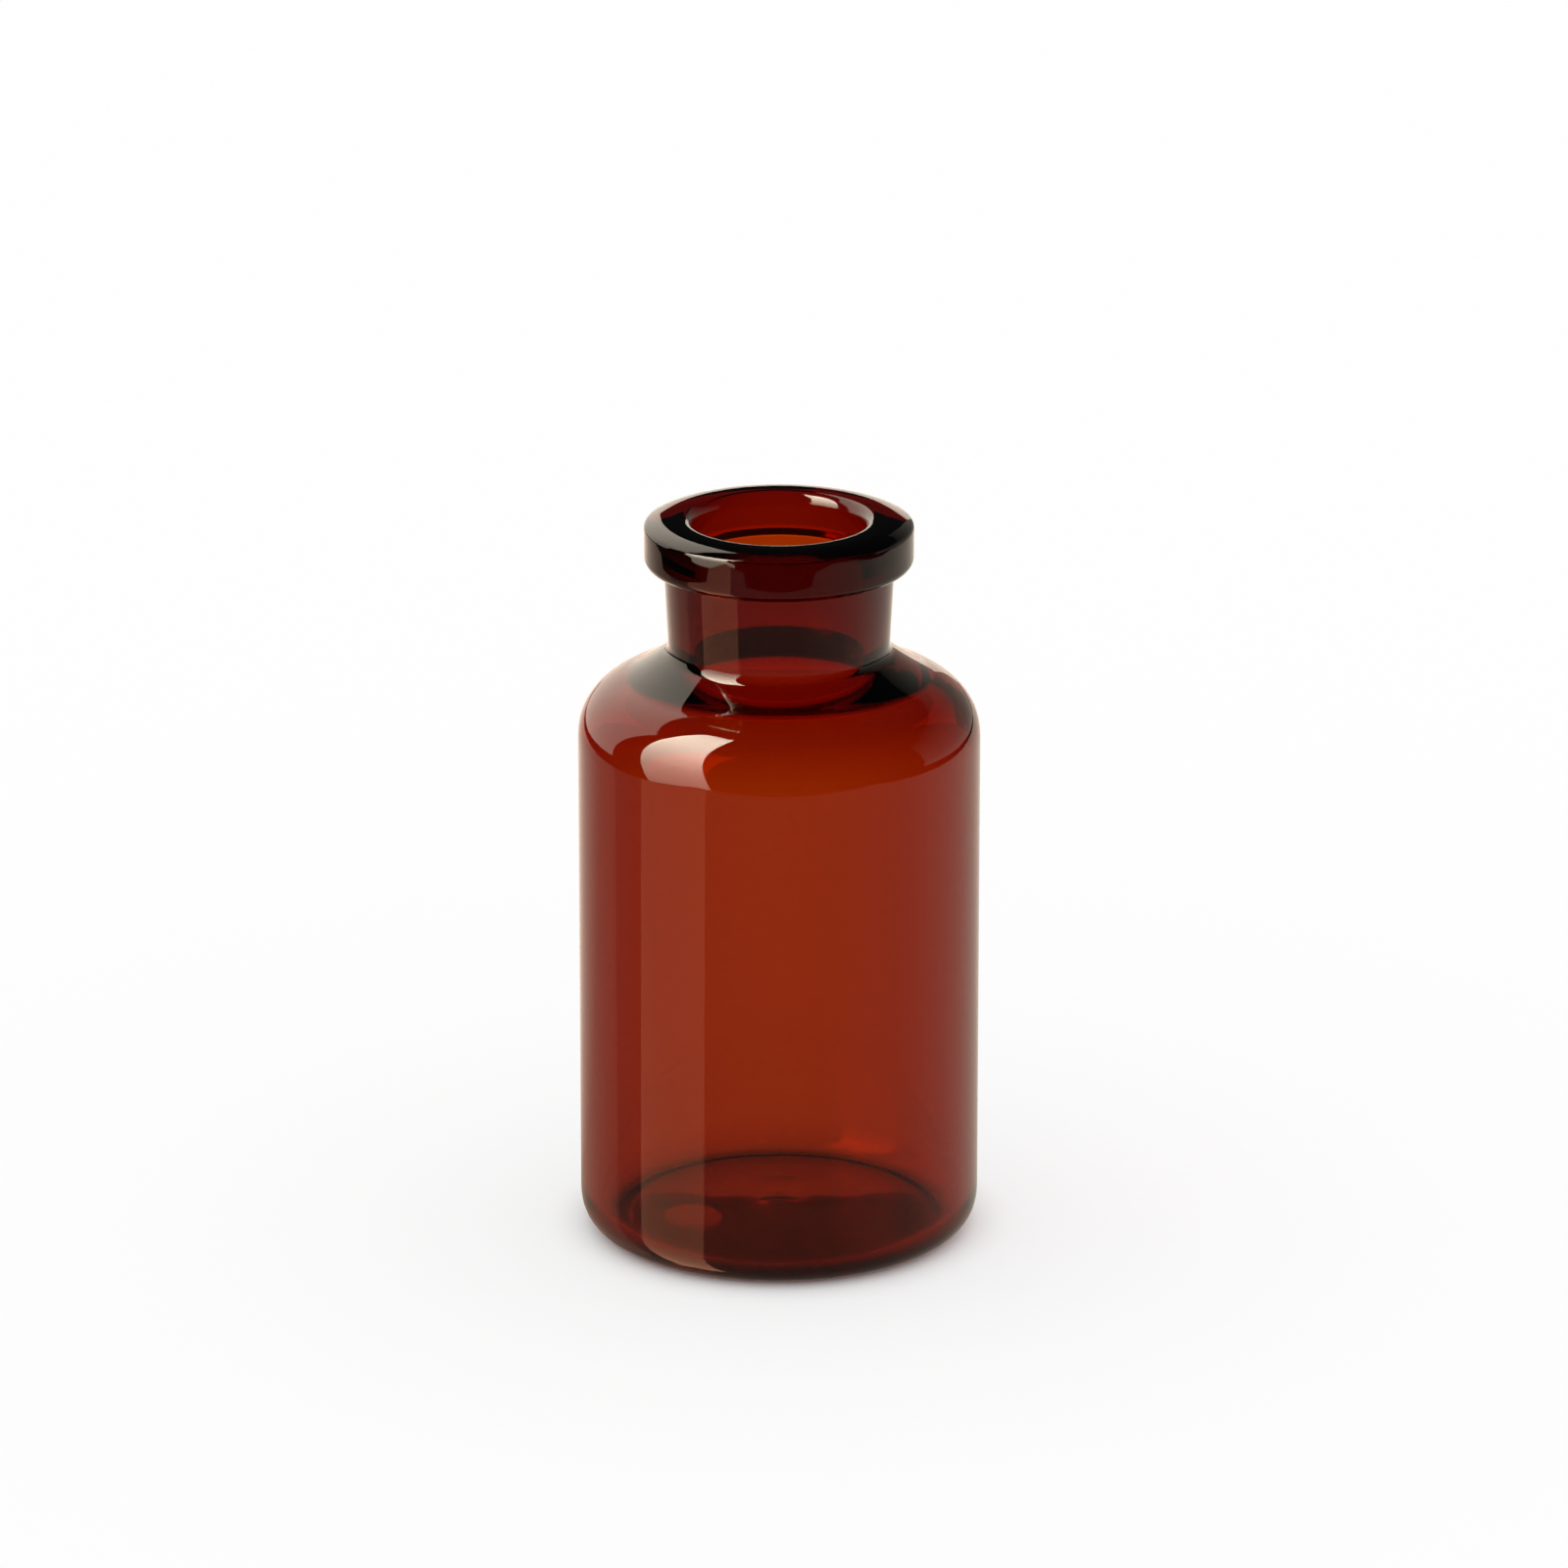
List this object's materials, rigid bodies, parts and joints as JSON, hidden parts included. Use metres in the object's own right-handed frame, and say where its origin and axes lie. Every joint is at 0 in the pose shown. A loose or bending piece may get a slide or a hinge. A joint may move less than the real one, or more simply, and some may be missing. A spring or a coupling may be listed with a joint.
{
  "type": "glass injection vial",
  "caption": "Open, empty amber glass vial with a cylindrical body, rounded shoulder, straight neck and crimp flange, on a pushed-up base with a flat standing ring.",
  "frame": {"origin": "centre of the flat standing ring, on the surface the vial stands on", "axes": "+Z along the vial's axis, from the base towards the open mouth; X and Y are across it"},
  "size_m": [0.03, 0.03, 0.0555],
  "materials": {
    "amber_glass": "clear red-brown amber glass, tinted through its thickness, with a smooth fire-polished surface"
  },
  "bodies": {
    "root": {"glass_vial": "amber_glass"}
  },
  "joints": []
}
